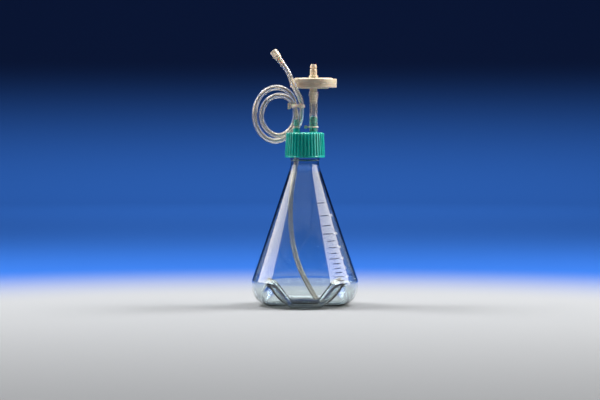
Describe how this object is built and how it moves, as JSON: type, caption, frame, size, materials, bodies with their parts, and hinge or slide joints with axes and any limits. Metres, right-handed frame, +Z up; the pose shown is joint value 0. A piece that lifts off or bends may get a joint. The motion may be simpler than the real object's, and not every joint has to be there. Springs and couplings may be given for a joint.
{
  "type": "erlenmeyer flask",
  "caption": "Clear baffled-base erlenmeyer culture flask with a ribbed screw cap, two barbed ports, a dip tube, a looped transfer tube with luer connector, and a disc vent filter.",
  "frame": {"origin": "centre of the flask's base, on the surface that it stands on", "axes": "+Z up along the flask's axis; +X from the transfer port to the vent port; front is -Y"},
  "size_m": [0.131, 0.131, 0.3145],
  "materials": {
    "clear_body": "clear polycarbonate, polished, faint blue-grey tint",
    "cap_green": "moulded polypropylene, teal green, satin",
    "gasket_silicone": "white silicone",
    "silicone_tube": "translucent silicone",
    "filter_plastic": "natural polypropylene, ivory, slightly translucent",
    "membrane": "white porous membrane",
    "luer_plastic": "natural nylon, off-white",
    "tie_nylon": "natural nylon"
  },
  "bodies": {
    "flask": {"flask_body": "clear_body"},
    "head": {"port_plate": "cap_green", "cap_gasket": "gasket_silicone", "vent_tube": "silicone_tube", "transfer_tube": "silicone_tube", "filter_lower_housing": "filter_plastic", "filter_upper_housing": "filter_plastic", "filter_membrane": "membrane", "lower_membrane_support": "filter_plastic", "upper_membrane_support": "filter_plastic", "luer_fitting": "luer_plastic", "vent_tube_tie": "tie_nylon", "transfer_tube_tie": "tie_nylon", "coil_tie": "tie_nylon"},
    "collar": {"screw_collar": "cap_green"},
    "dip": {"dip_tube": "silicone_tube"},
    "luer_collar": {"luer_lock_collar": "luer_plastic"}
  },
  "joints": [
    {"name": "cap_lift", "type": "slide", "parent": "flask", "child": "head", "axis": [0, 0, 1], "range_m": [0, 0.032]},
    {"name": "collar_turn", "type": "hinge", "parent": "head", "child": "collar", "pos_m": [0, 0, 0.197], "axis": [0, 0, 1], "range_deg": [0, 2743]},
    {"name": "dip_tube_flex", "type": "hinge", "parent": "head", "child": "dip", "pos_m": [-0.0104, 0, 0.195], "axis": [0, -1, 0], "range_deg": [0, 5.6], "deforming": ["dip_tube"]},
    {"name": "luer_collar_turn", "type": "hinge", "parent": "head", "child": "luer_collar", "pos_m": [-0.0318, -0.014, 0.3026], "axis": [-0.5682, 0.3342, 0.752], "continuous": true}
  ],
  "couplings": [
    {"joint": "collar_turn", "follows": "cap_lift", "rad_per_m": 1496},
    {"joint": "dip_tube_flex", "follows": "cap_lift", "rad_per_m": 3}
  ]
}
